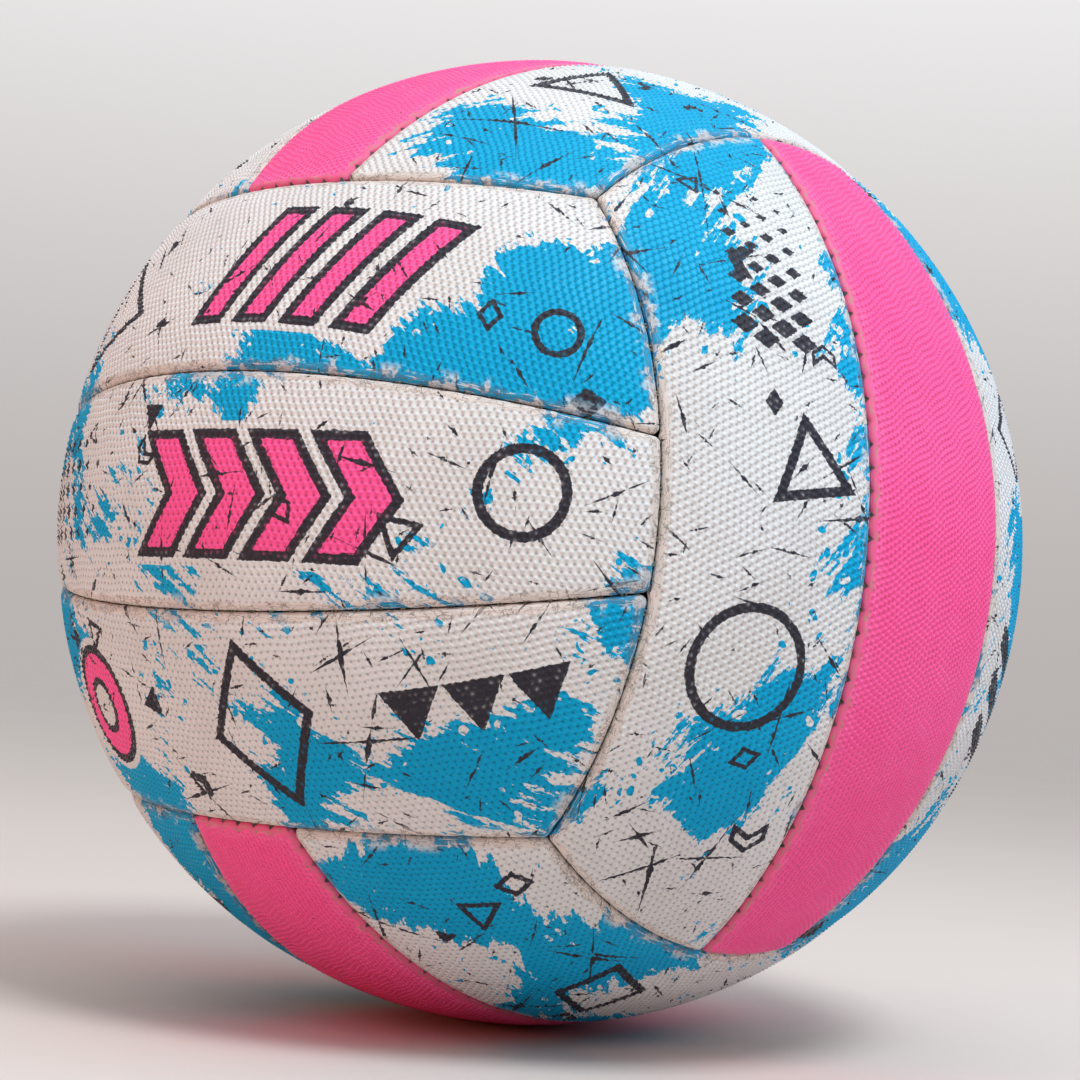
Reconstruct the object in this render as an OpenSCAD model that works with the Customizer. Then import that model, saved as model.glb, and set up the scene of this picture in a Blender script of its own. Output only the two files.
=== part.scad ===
// A hand-stitched ball of eighteen strips, three to each face of a cube blown
// up to a sphere, and the strips of neighbouring faces lie square to each other.
// A strip is a rubber skin with its rim folded in, and a cloth backing in it.
// The folded rims are saddle-stitched together, and an air bladder presses the
// backings out. Its valve comes out in the middle of the back face.
// +Z is up, -Y is the front, and the origin is the centre of the ball.

/* [Ball] */
// Distance round the ball
girth = 700; // [680:5:720]

/* [Strips] */
// Angle by which the middle of a strip's end lies past the cube's edge
seam_bow = 7.9; // [5:0.1:9]
// Half of the angle across a middle strip
strip_half_angle = 12.7; // [12:0.1:13.5]
// Thickness of the rubber skin
skin_thickness = 1.5; // [1.3:0.1:1.7]
// Depth of the folded-in rim below the ball's surface
rim_depth = 4.2; // [4:0.1:4.8]
// Radius of the fold between the surface and the rim
fold_radius = 2.2; // [1.8:0.1:2.4]
// Gap between the rims of neighbouring strips
seam_gap = 0.15; // [0.15:0.05:0.3]
// Layer of glue between a skin and its backing
glue_gap = 0.1; // [0.1:0.05:0.2]

/* [Stitching] */
// Diameter of the waxed thread
thread_diameter = 0.8; // [0.6:0.1:1]
// Distance from one stitch to the next
stitch_pitch = 8; // [5:0.5:10]
// Diameter of a needle hole in a rim
needle_hole_diameter = 0.9; // [0.8:0.05:1]
// Distance from the end of a seam to its first stitch
end_margin = 4; // [4:0.5:6]
// Clearance round a thread that lies beside a rim
thread_clearance = 0.1; // [0.1:0.05:0.2]

/* [Bladder] */
// Thickness of the bladder's wall
bladder_thickness = 0.9; // [0.7:0.1:1.2]
// Room between the bladder and the tips of the rims
bladder_clearance = 0.3; // [0.3:0.1:0.6]

/* [Valve] */
// Diameter of the valve's head, which shows in the skin
head_diameter = 7; // [6:0.5:8]
// How far the head lies below the ball's surface
head_recess = 0.3; // [0.2:0.1:0.6]
// Diameter of the valve's barrel under the skin
barrel_diameter = 10; // [9:0.5:12]
// Length of the valve from its head to its inner end
valve_length = 24; // [21:1:30]
// Diameter of the flange that holds the valve in the bladder
flange_diameter = 26; // [22:1:32]
// Thickness of the flange
flange_thickness = 1.2; // [0.8:0.1:1.6]
// Diameter of the patch between the flange and the bladder
patch_diameter = 36; // [34:1:44]
// Thickness of the patch
patch_thickness = 0.8; // [0.6:0.1:1.2]
// Diameter of the removable core
core_diameter = 5; // [4.6:0.1:5.4]
// Length of the core
core_length = 13; // [12:0.5:16]
// Running clearance round the core
core_clearance = 0.05; // [0.05:0.01:0.09]
// Diameter of the needle's channel in the core
channel_diameter = 2; // [1.8:0.1:2.2]
// Length of the needle's channel
channel_length = 10; // [8:0.5:11]
// Room round the valve where it passes through another piece
valve_clearance = 0.15; // [0.15:0.05:0.3]
// Width of the slits that close behind the needle
slit_width = 0.3; // [0.2:0.1:0.4]

/* [Hidden] */
$fn = 96;
thread_fn = 16;
fold_fn = 48;
overrun = 1;

ball_radius = girth / (2 * PI);
lining_radius = ball_radius - skin_thickness - glue_gap;
rim_tip_radius = ball_radius - rim_depth;
bladder_radius = rim_tip_radius - bladder_clearance;
bladder_inner_radius = bladder_radius - bladder_thickness;
reach = ball_radius + rim_depth;

// An end seam is a circle round an axis that is tilted by seam_tilt from the
// middle of its face, and seam_angle is the angle between that axis and the seam.
corner_share = 1 / sqrt(3);
end_angle = 45 + seam_bow;
seam_tilt = atan((cos(end_angle) - corner_share) / (sin(end_angle) - corner_share));
seam_angle = end_angle + seam_tilt;
strip_seam_angle = 90;

// Angles round a seam's axis, counted from the middle of the seam
corner_turn = atan2(1, sin(seam_tilt) + cos(seam_tilt));
junction_lean = atan(tan(strip_half_angle) * sin(seam_tilt));
junction_turn = junction_lean
    + asin(tan(strip_half_angle) * cos(seam_tilt) / tan(seam_angle) * cos(junction_lean));
strip_lean = atan2(sin(seam_tilt), cos(seam_tilt) * cos(strip_half_angle));
strip_turn = acos(cos(seam_angle) * sin(strip_lean) / sin(seam_tilt)) - strip_lean;

// The thread lies between the rim and the backing, half way down to the rim's tip
half_gap = seam_gap / 2;
stitch_depth = (skin_thickness + rim_depth) / 2;
stitch_radius = ball_radius - stitch_depth;
thread_offset = half_gap + skin_thickness + thread_clearance + thread_diameter / 2;
backing_offset = thread_offset + thread_diameter / 2 + thread_clearance;
cross_thread_share = 0.7;
thread_tail_share = 0.75;

// The disc that shapes a fold stands slightly proud, so that it crosses the
// surface and the rim at an angle and never only touches them. The folds that
// meet at a corner differ a little: a long side's is the fullest, and a strip
// seam's the tightest.
fold_proud_share = 0.02;
end_fold_share = 1;
strip_fold_share = 0.93;
side_fold_share = 1.07;
fold_overrun_turn = 4;

head_radius = head_diameter / 2;
barrel_radius = barrel_diameter / 2;
head_top = ball_radius - head_recess;
valve_end = head_top - valve_length;
barrel_top = sqrt(pow(lining_radius, 2) - pow(barrel_radius, 2));
core_bore_radius = core_diameter / 2 + core_clearance;
patch_radius = bladder_inner_radius - glue_gap;
flange_radius = patch_radius - patch_thickness - glue_gap;
end_chamfer = core_diameter / 10;

// Each face has its name, the turn that brings it from +X, and the names of
// its three strips and of the faces at their two ends.
FACES = [
    ["front", [0, 0, -90], ["upper", "middle", "lower"], ["right", "left"]],
    ["back", [0, 0, 90], ["upper", "middle", "lower"], ["left", "right"]],
    ["right", [90, 0, 0], ["front", "middle", "back"], ["top", "bottom"]],
    ["left", [90, 0, 180], ["back", "middle", "front"], ["top", "bottom"]],
    ["top", [0, -90, 0], ["left", "middle", "right"], ["back", "front"]],
    ["bottom", [0, 90, 0], ["right", "middle", "left"], ["back", "front"]]
];
STRIPS = [0, 1, 2];
ENDS = [0, 1];
MIDDLE = 1;
UPPER = 0;

function piece_name(face, strip, kind) = str(face[0], "_", face[2][strip], "_", kind);
function seam_name(face, end) = str(face[0], "_", face[3][end], "_thread");
function strip_thread_name(face) = str(face[0], "_strip_threads");

print_colour = "#DDE3E6";
plain_colour = "#FF5FA4";
backing_colour = "#E8E2D2";
thread_colour = "#B9B1A4";
bladder_colour = "#26262A";
patch_colour = "#3A3A3E";
boot_colour = "#1C1C1F";
core_colour = "#4A4A50";

function is_plain(face, strip) = strip == MIDDLE && face[0] != "front" && face[0] != "back";
function has_valve(face, strip) = strip == MIDDLE && face[0] == "back";

// Stitches along a seam's stretch, as turns round the seam's axis
function seam_length(angle, turn) = stitch_radius * sin(angle) * turn * PI / 180;
function length_turn(angle, length) = length / seam_length(angle, 1);
function stitches(angle, from, to) =
    let (first = from + length_turn(angle, end_margin))
    let (last = to - length_turn(angle, end_margin))
    let (count = max(1, floor(seam_length(angle, last - first) / stitch_pitch)))
    [for (i = [0 : count]) first + i * (last - first) / count];

EDGE_STRETCHES = [
    stitches(seam_angle, -corner_turn, -junction_turn),
    stitches(seam_angle, -junction_turn, junction_turn),
    stitches(seam_angle, junction_turn, corner_turn)
];
STRIP_STITCHES = stitches(strip_seam_angle, -strip_turn, strip_turn);

// A place beside a seam, in the half plane through the seam's axis
function beside_seam(angle, offset) =
    stitch_radius * [sin(angle), cos(angle)] + offset * [cos(angle), -sin(angle)];

// Places for a face seen along +X, with its strips lying along Y
module at_end_seam(end) {
    rotate([180 * end, 0, 0]) rotate([0, 0, -seam_tilt]) rotate([0, 90, 0]) rotate([0, 0, 90]) children();
}
module at_side_seam() {
    rotate([0, -seam_tilt, 0]) children();
}
module at_strip_seam(end) {
    rotate([180 * end, 0, 0]) rotate([0, -strip_half_angle, 0]) children();
}

// All that lies on the axis' side of an edge seam, from below the rims outwards
module seam_cone(shift) {
    low = (rim_tip_radius - rim_depth) * cos(seam_angle);
    translate([0, 0, low + shift / sin(seam_angle)])
        cylinder(h = reach - low, r1 = low * tan(seam_angle), r2 = reach * tan(seam_angle));
}

// The block on one side of a strip seam: side is 1 for a side strip
module seam_block(side, inset) {
    translate([0, -reach, side > 0 ? inset : -inset - 2 * reach])
        cube([2 * reach, 2 * reach, 2 * reach]);
}

// The part of the ball that belongs to a strip, drawn in from its seams by inset
module strip_region(strip, inset) {
    difference() {
        intersection() {
            at_end_seam(0) seam_cone(inset);
            at_end_seam(1) seam_cone(inset);
            if (strip == MIDDLE) {
                at_strip_seam(0) seam_block(-1, inset);
            }
            if (strip == MIDDLE) {
                at_strip_seam(1) seam_block(-1, inset);
            }
            if (strip != MIDDLE) {
                at_strip_seam(0) seam_block(1, inset);
            }
        }
        if (strip != MIDDLE) {
            at_side_seam() seam_cone(-inset);
        }
    }
}

// What is cut away outside a fold: side is 1 where the strip is on the axis' side
module fold_cut(angle, side, from, to, fullness) {
    radius = fold_radius * fullness;
    inset = radius * (1 - fold_proud_share);
    centre_radius = ball_radius - inset;
    turn = angle - side * asin((half_gap + inset) / centre_radius);
    rotate([0, 0, from - fold_overrun_turn])
        rotate_extrude(angle = to - from + 2 * fold_overrun_turn)
            translate(centre_radius * [sin(turn), cos(turn)])
                rotate(-turn)
                    difference() {
                        translate([side > 0 ? 0 : -2 * radius, 0]) square(2 * radius);
                        circle(r = radius, $fn = fold_fn);
                    }
}

module seam_pins(angle, marks, length, radius) {
    place = beside_seam(angle, 0);
    for (mark = marks)
        rotate([0, 0, mark])
            translate([place.x, 0, place.y])
                rotate([0, 90 + angle, 0])
                    cylinder(h = length, r = radius, center = true, $fn = thread_fn);
}

module needle_holes(angle, marks) {
    seam_pins(angle, marks, 2 * (half_gap + skin_thickness + overrun), needle_hole_diameter / 2);
}

module strip_needle_holes(strip) {
    if (strip == MIDDLE) {
        for (end = ENDS) {
            at_end_seam(end) needle_holes(seam_angle, EDGE_STRETCHES[1]);
            at_strip_seam(end) needle_holes(strip_seam_angle, STRIP_STITCHES);
        }
    } else {
        at_end_seam(0) needle_holes(seam_angle, EDGE_STRETCHES[2]);
        at_end_seam(1) needle_holes(seam_angle, EDGE_STRETCHES[0]);
        at_strip_seam(0) needle_holes(strip_seam_angle, STRIP_STITCHES);
        at_side_seam()
            for (stretch = EDGE_STRETCHES)
                needle_holes(seam_angle, stretch);
    }
}

module side_fold() {
    at_side_seam() fold_cut(seam_angle, -1, -corner_turn, corner_turn, side_fold_share);
}

module other_folds(strip) {
    if (strip == MIDDLE) {
        for (end = ENDS) {
            at_end_seam(end) fold_cut(seam_angle, 1, -junction_turn, junction_turn, end_fold_share);
            at_strip_seam(end) fold_cut(strip_seam_angle, -1, -strip_turn, strip_turn, strip_fold_share);
        }
    } else {
        at_end_seam(0) fold_cut(seam_angle, 1, junction_turn, corner_turn, end_fold_share);
        at_end_seam(1) fold_cut(seam_angle, 1, -corner_turn, -junction_turn, end_fold_share);
        at_strip_seam(0) fold_cut(strip_seam_angle, 1, -strip_turn, strip_turn, strip_fold_share);
    }
}

module ball_shell(outer_radius, inner_radius) {
    rotate([0, 0, 180])
        difference() {
            sphere(r = outer_radius);
            sphere(r = inner_radius);
        }
}

module valve_hole(diameter) {
    rotate([0, 90, 0]) cylinder(h = reach, d = diameter + 2 * valve_clearance);
}

// A solid strip of the ball as deep as its rim. The side fold is cut on its own.
module strip_block(strip) {
    difference() {
        difference() {
            intersection() {
                ball_shell(ball_radius, rim_tip_radius);
                strip_region(strip, half_gap);
            }
            if (strip != MIDDLE) {
                side_fold();
            }
        }
        other_folds(strip);
    }
}

// The rubber skin of one strip: an arched wall with its rim folded in
module skin(strip, valve) {
    difference() {
        strip_block(strip);
        intersection() {
            ball_shell(ball_radius - skin_thickness, rim_tip_radius - overrun);
            strip_region(strip, half_gap + skin_thickness);
        }
        strip_needle_holes(strip);
        if (valve) {
            valve_hole(head_diameter);
        }
    }
}

// The laminated cloth that lies in a skin, with room for the thread round it
module backing(strip, valve) {
    difference() {
        intersection() {
            ball_shell(lining_radius, rim_tip_radius);
            strip_region(strip, backing_offset);
        }
        if (valve) {
            valve_hole(barrel_diameter);
        }
    }
}

// A strip is drawn as the middle or the upper one, and the lower is the upper turned over
module in_strip(face, strip) {
    rotate(face[1])
        rotate([strip > MIDDLE ? 180 : 0, 0, 0])
            children();
}

module panel(face, strip) {
    color(is_plain(face, strip) ? plain_colour : print_colour)
        in_strip(face, strip)
            skin(strip == MIDDLE ? MIDDLE : UPPER, has_valve(face, strip));
}

module panel_backing(face, strip) {
    color(backing_colour)
        in_strip(face, strip)
            backing(strip == MIDDLE ? MIDDLE : UPPER, has_valve(face, strip));
}

// A length of thread along one side of a seam, from its first stitch to its last
module thread_run(angle, side, marks) {
    place = beside_seam(angle, side * thread_offset);
    tail = length_turn(angle, thread_diameter * thread_tail_share);
    from = marks[0] - tail;
    to = marks[len(marks) - 1] + tail;
    rotate([0, 0, from])
        rotate_extrude(angle = to - from)
            translate(place)
                circle(d = thread_diameter, $fn = thread_fn);
}

module cross_threads(angle, marks) {
    seam_pins(angle, marks, 2 * thread_offset, cross_thread_share * thread_diameter / 2);
}

// The stitching of an end seam. The side strip beyond it takes one whole run,
// and each of the three strips that end here takes its own.
module edge_thread(face, end) {
    marks = concat(EDGE_STRETCHES[0], EDGE_STRETCHES[1], EDGE_STRETCHES[2]);
    color(thread_colour)
        rotate(face[1])
            at_end_seam(end)
                union() {
                    thread_run(seam_angle, 1, marks);
                    for (stretch = EDGE_STRETCHES)
                        thread_run(seam_angle, -1, stretch);
                    cross_threads(seam_angle, marks);
                }
}

// The stitching on both sides of a middle strip
module strip_threads(face) {
    color(thread_colour)
        rotate(face[1])
            for (end = ENDS)
                at_strip_seam(end)
                    union() {
                        thread_run(strip_seam_angle, 1, STRIP_STITCHES);
                        thread_run(strip_seam_angle, -1, STRIP_STITCHES);
                        cross_threads(strip_seam_angle, STRIP_STITCHES);
                    }
}

// The valve's pieces are drawn along +Z and turned to +Y, out of the back face
module at_valve() {
    rotate([-90, 0, 0]) children();
}

module bladder() {
    color(bladder_colour)
        difference() {
            ball_shell(bladder_radius, bladder_inner_radius);
            at_valve() cylinder(h = reach, d = barrel_diameter + 2 * valve_clearance);
        }
}

// A round piece cut from a shell of the ball
module cap(radius, thickness, diameter) {
    intersection() {
        ball_shell(radius, radius - thickness);
        cylinder(h = reach, d = diameter);
    }
}

module valve_patch() {
    color(patch_colour)
        at_valve()
            difference() {
                cap(patch_radius, patch_thickness, patch_diameter);
                cylinder(h = reach, d = barrel_diameter + 2 * valve_clearance);
            }
}

module slit() {
    translate([-channel_diameter, -slit_width / 2, 0])
        cube([2 * channel_diameter, slit_width, valve_length]);
}

module valve_boot() {
    color(boot_colour)
        at_valve()
            difference() {
                union() {
                    translate([0, 0, valve_end]) cylinder(h = head_top - valve_end, r = head_radius);
                    translate([0, 0, valve_end]) cylinder(h = barrel_top - valve_end, r = barrel_radius);
                    cap(flange_radius, flange_thickness, flange_diameter);
                }
                translate([0, 0, head_top - core_length - glue_gap])
                    cylinder(h = core_length + glue_gap + overrun, r = core_bore_radius);
                translate([0, 0, valve_end - overrun])
                    slit();
            }
}

module valve_core() {
    color(core_colour)
        at_valve()
            translate([0, 0, head_top - core_length])
                difference() {
                    union() {
                        cylinder(h = end_chamfer, d1 = core_diameter - 2 * end_chamfer, d2 = core_diameter);
                        translate([0, 0, end_chamfer])
                            cylinder(h = core_length - end_chamfer, d = core_diameter);
                    }
                    translate([0, 0, core_length - channel_length])
                        cylinder(h = channel_length + overrun, d = channel_diameter);
                    translate([-channel_diameter / 2, -slit_width / 2, -overrun])
                        cube([channel_diameter, slit_width, core_length - channel_length + 2 * overrun]);
                }
}

for (face = FACES, strip = STRIPS)
    panel(face, strip);
for (face = FACES, strip = STRIPS)
    panel_backing(face, strip);
for (face = FACES, end = ENDS)
    edge_thread(face, end);
for (face = FACES)
    strip_threads(face);
bladder();
valve_patch();
valve_boot();
valve_core();
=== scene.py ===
"""Dresses the netball's frame: pimpled rubber strips, their stitching, the valve and a plain stage."""

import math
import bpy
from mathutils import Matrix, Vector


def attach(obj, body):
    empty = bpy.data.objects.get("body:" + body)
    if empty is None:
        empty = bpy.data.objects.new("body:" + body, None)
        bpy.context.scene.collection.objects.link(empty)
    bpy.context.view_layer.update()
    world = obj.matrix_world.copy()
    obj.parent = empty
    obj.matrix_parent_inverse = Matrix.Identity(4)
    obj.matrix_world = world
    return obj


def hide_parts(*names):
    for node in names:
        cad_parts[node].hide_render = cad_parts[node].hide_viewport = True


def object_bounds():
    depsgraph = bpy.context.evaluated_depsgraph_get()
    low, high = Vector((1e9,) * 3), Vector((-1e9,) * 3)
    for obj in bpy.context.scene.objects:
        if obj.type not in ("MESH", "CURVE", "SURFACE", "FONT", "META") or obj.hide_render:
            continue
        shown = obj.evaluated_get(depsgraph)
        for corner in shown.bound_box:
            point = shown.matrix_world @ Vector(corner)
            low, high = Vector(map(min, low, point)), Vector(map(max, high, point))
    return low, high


bl_info = {
    "name": "Stitched netball",
    "version": (1, 0, 0),
    "blender": (4, 5, 0),
    "location": "3D View > Sidebar > Netball",
    "description": "Dresses the frame of a stitched netball in rubber strips, thread, valve and stage",
    "category": "Object",
}

from collections import namedtuple

import bpy
import numpy as np
from bpy.props import FloatProperty, FloatVectorProperty, IntProperty, PointerProperty
from mathutils import Euler, Matrix, Vector
from mathutils.geometry import delaunay_2d_cdt

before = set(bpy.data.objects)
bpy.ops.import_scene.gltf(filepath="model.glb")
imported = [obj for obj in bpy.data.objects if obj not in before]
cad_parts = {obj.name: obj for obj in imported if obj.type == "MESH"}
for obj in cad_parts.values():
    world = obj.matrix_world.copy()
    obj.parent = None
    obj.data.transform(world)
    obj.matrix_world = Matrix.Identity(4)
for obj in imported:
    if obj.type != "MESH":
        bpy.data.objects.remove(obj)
CAD_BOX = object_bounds()
BALL_RADIUS = (CAD_BOX[1].x - CAD_BOX[0].x) / 2
MM = 0.001

# Each face has its name, the turn in degrees that brings it from +X, the names of its three strips and of
# the faces at the strips' two ends. A face is drawn looking along -X, with its strips lying along Y.
FACES = (
    ("front", (0, 0, -90), ("upper", "middle", "lower"), ("right", "left")),
    ("back", (0, 0, 90), ("upper", "middle", "lower"), ("left", "right")),
    ("right", (90, 0, 0), ("front", "middle", "back"), ("top", "bottom")),
    ("left", (90, 0, 180), ("back", "middle", "front"), ("top", "bottom")),
    ("top", (0, -90, 0), ("left", "middle", "right"), ("back", "front")),
    ("bottom", (0, 90, 0), ("right", "middle", "left"), ("back", "front")),
)
MIDDLE = 1
PRINTED_MIDDLES = ("front", "back")
HALF_TURN_ABOUT_X = np.diag([1.0, -1.0, -1.0])
# Each coordinate of a corner of a cube that fits inside a sphere of radius one
CORNER_SHARE = 1 / math.sqrt(3)
# A strip seam is a great circle
STRIP_SEAM_ANGLE = math.pi / 2
# The distance between two rows of a triangular lattice, as a share of its step
LATTICE_RISE = math.sqrt(3) / 2
# A distance in metres that is further than any on the ball
FAR = 1.0
# The kind of output that delaunay_2d_cdt gives for a region with holes
INSIDE_WITH_HOLES = 2


def from_hex(text):
    """The linear colour of an sRGB hex value."""
    parts = [int(text[i:i + 2], 16) / 255 for i in (1, 3, 5)]
    return [c / 12.92 if c <= 0.04045 else ((c + 0.055) / 1.055) ** 2.4 for c in parts]


def length(name, description, default):
    return FloatProperty(name=name, description=description, default=default, min=0, unit="LENGTH")


def angle(name, description, default):
    return FloatProperty(name=name, description=description, default=math.radians(default), subtype="ANGLE")


def share(name, description, default):
    return FloatProperty(
        name=name, description=description, default=default, min=0, max=1, subtype="FACTOR")


def colour(name, description, default):
    return FloatVectorProperty(
        name=name, description=description, default=from_hex(default), min=0, max=1, subtype="COLOR")


class StripSettings(bpy.types.PropertyGroup):
    seam_bow: angle("Seam bow", "Angle by which the middle of a strip's end lies past the cube's edge", 7.9)
    strip_half_angle: angle("Strip half angle", "Half of the angle across a middle strip", 12.7)
    skin_thickness: length("Skin", "Thickness of the rubber skin", 1.5 * MM)
    rim_depth: length("Rim depth", "Depth of the folded-in rim below the surface", 4.2 * MM)
    fold_radius: length("Fold radius", "Radius of the fold between surface and rim", 1.3 * MM)
    half_gap: length("Half gap", "Half of the gap between two rims", 0.075 * MM)
    corner_radius: length("Corner radius", "Radius of a strip's corner in plan", 1.75 * MM)
    edge_step: length("Edge step", "Distance between two points along a rim", 0.6 * MM)
    bulge: length("Bulge", "How far a strip's side swells where two other strips meet it", 0.6 * MM)
    bulge_width: length("Bulge width", "Half of the length of that bulge", 0.55 * MM)
    shoulder_depth: length("Shoulder depth", "How far a strip sinks towards its seams", 0.3 * MM)
    shoulder_width: length("Shoulder width", "Width over which a strip sinks towards its seams", 4 * MM)
    valve_hole: length("Valve hole", "Diameter of the hole for the valve's head", 7.3 * MM)
    valve_lip: length("Valve lip", "Radius of the lip round the valve hole", 0.5 * MM)


class PimpleSettings(bpy.types.PropertyGroup):
    printed_pitch: length("Pitch, printed", "Distance from pimple to pimple on a printed strip", 1.65 * MM)
    plain_pitch: length("Pitch, plain", "Distance from pimple to pimple on a plain strip", 1.45 * MM)
    steps: IntProperty(
        name="Steps", description="Mesh steps from one pimple to the next",
        default=4, min=1, max=6)
    diameter_share: share("Diameter share", "A pimple's diameter as a share of the pitch", 0.62)
    height: length("Height", "Height of a pimple", 0.42 * MM)
    printed_wander: length("Wander, printed", "How far the rows stray on a printed strip", 0.14 * MM)
    plain_wander: length("Wander, plain", "How far the rows stray on a plain strip", 0.3 * MM)
    smooth_band: length("Smooth band", "Width of the smooth band beside the folds", 0.5 * MM)


class StitchSettings(bpy.types.PropertyGroup):
    pitch: length("Pitch", "Distance from one stitch to the next", 4.8 * MM)
    thread_diameter: length("Thread", "Diameter of the waxed thread", 0.8 * MM)
    end_margin: length("End margin", "Distance from a seam's end to its first stitch", 4 * MM)
    run_depth: length("Run depth", "Depth of the thread behind a rim", 2.6 * MM)
    cross_depth: length("Cross depth", "Depth of the thread where it crosses a seam", 2.0 * MM)
    pull_width: length("Pull width", "Width of the dent that a stitch pulls", 0.7 * MM)
    printed_pull: length("Pull, printed", "How far a stitch pulls a printed strip's rim back", 0.14 * MM)
    plain_pull: length("Pull, plain", "How far a stitch pulls a plain strip's rim back", 0.55 * MM)


class InkSettings(bpy.types.PropertyGroup):
    white: colour("White", "Colour of the printed strips' rubber", "#E4E2E1")
    cyan: colour("Cyan", "Colour of the large printed patches", "#00B0DA")
    dark: colour("Dark", "Colour of the printed strokes and outlines", "#3C3A42")
    pink: colour("Pink", "Colour of the plain strips and of the pink print", "#FF66A4")
    patch_size: length("Patch size", "Size of the cyan patches", 52 * MM)
    streak_length: length("Streak length", "Length of a patch's brushed streaks", 17 * MM)
    streak_width: length("Streak width", "Width of a patch's brushed streaks", 2.6 * MM)
    line_width: length("Line width", "Width of a printed outline", 2.0 * MM)


class StageSettings(bpy.types.PropertyGroup):
    camera_distance: length("Camera distance", "Distance from the camera to the ball's centre", 0.557)
    lens: FloatProperty(name="Lens", description="Focal length in mm on a 36 mm sensor", default=78.9)
    floor_colour: colour("Floor", "Colour of the plain floor", "#E1D2C9")


# Seams and outlines, on a sphere of radius one

Seam = namedtuple("Seam", "turn angle side")
Stretch = namedtuple("Stretch", "seam start end count stitched")
Motif = namedtuple("Motif", "shape along across size turn fill")


def turned(x=0.0, y=0.0, z=0.0):
    """The matrix that turns about X, then Y, then Z, by angles in radians."""
    return np.array(Euler((x, y, z), "XYZ").to_matrix())


class Layout:
    """Where the seams lie on a face that is drawn looking along -X."""

    def __init__(self, strips):
        end_angle = math.pi / 4 + strips.seam_bow
        self.tilt = math.atan((math.cos(end_angle) - CORNER_SHARE) / (math.sin(end_angle) - CORNER_SHARE))
        self.angle = end_angle + self.tilt
        self.half = strips.strip_half_angle
        self.corner = strips.corner_radius / BALL_RADIUS
        lean = math.atan2(math.sin(self.tilt), math.cos(self.tilt) * math.cos(self.half))
        self.strip_turn = math.acos(math.cos(self.angle) * math.sin(lean) / math.sin(self.tilt)) - lean
        self.corner_turn = math.atan2(1, math.sin(self.tilt) + math.cos(self.tilt))
        meeting = corner_centre(self.seams(True), 0, 0)
        self.meeting_turn = abs(float(turn_on(self.end_seam(0), meeting)))

    def end_seam(self, end):
        flip = HALF_TURN_ABOUT_X if end else np.eye(3)
        tilted = turned(z=-self.tilt) @ turned(y=math.pi / 2) @ turned(z=math.pi / 2)
        return Seam(flip @ tilted, self.angle, 1)

    def side_seam(self):
        return Seam(turned(y=-self.tilt), self.angle, -1)

    def strip_seam(self, end, side):
        flip = HALF_TURN_ABOUT_X if end else np.eye(3)
        return Seam(flip @ turned(y=-self.half), STRIP_SEAM_ANGLE, side)

    def seams(self, middle):
        """The four seams round a middle strip, or round the strip above it, in order."""
        if middle:
            return [self.strip_seam(0, -1), self.end_seam(0), self.strip_seam(1, -1), self.end_seam(1)]
        return [self.strip_seam(0, 1), self.end_seam(0), self.side_seam(), self.end_seam(1)]

    def middle_turn(self, middle):
        """The turn about Y of a strip's middle line."""
        return 0.0 if middle else (self.half + math.pi / 2 - self.angle + self.tilt) / 2


def on_seam(seam, turns, inset):
    """Points at these turns round a seam's axis, drawn in from the seam by an angle."""
    away = seam.angle - seam.side * inset
    around = np.stack([np.sin(away) * np.cos(turns), np.sin(away) * np.sin(turns)], 1)
    local = np.column_stack([around, np.cos(away) + 0 * turns])
    return local @ seam.turn.T


def turn_on(seam, points):
    """The turns round a seam's axis at which points lie."""
    local = points @ seam.turn
    return np.arctan2(local[..., 1], local[..., 0])


def inside(seam, points):
    """The angle by which points lie inside a seam."""
    return seam.side * (seam.angle - np.arccos(np.clip(points @ seam.turn[:, 2], -1, 1)))


def corner_centre(seams, i, radius):
    """The point that lies this angle inside seam i and the one after it. The first two corners lie near +Y,
    and the other two near -Y."""
    first, second = seams[i], seams[(i + 1) % 4]
    a, b = first.turn[:, 2], second.turn[:, 2]
    near_a = math.cos(first.angle - first.side * radius)
    near_b = math.cos(second.angle - second.side * radius)
    dot = float(a @ b)
    across = np.cross(a, b)
    flat = ((near_a - near_b * dot) * a + (near_b - near_a * dot) * b) / (1 - dot * dot)
    rise = across * math.sqrt((1 - flat @ flat) / (across @ across))
    sign = 1 if i < 2 else -1
    return max((flat + rise, flat - rise), key=lambda p: sign * p[1])


def outline(layout, seams, step):
    """The closed outline of a strip: each seam's run, and the round corner after it. A run has a multiple of
    four steps, so that every fourth point makes a closed ring too."""
    corner_steps = 8
    stretches = []
    centres = [corner_centre(seams, i, layout.corner) for i in range(4)]
    for i, seam in enumerate(seams):
        start, end = turn_on(seam, centres[i - 1]), turn_on(seam, centres[i])
        run = abs(end - start) * math.sin(seam.angle) * BALL_RADIUS
        stretches.append(Stretch(seam, start, end, 4 * round(run / step / 4), True))
        after = seams[(i + 1) % 4]
        centre = centres[i]
        leaving = on_seam(seam, turn_on(seam, centre[None]), 0)[0]
        arriving = on_seam(after, turn_on(after, centre[None]), 0)[0]
        x = leaving - (leaving @ centre) * centre
        x = x / np.linalg.norm(x)
        round_seam = Seam(np.stack([x, np.cross(centre, x), centre], 1), layout.corner, 1)
        stretches.append(Stretch(round_seam, 0.0, float(turn_on(round_seam, arriving)), corner_steps, False))
    return stretches


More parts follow.
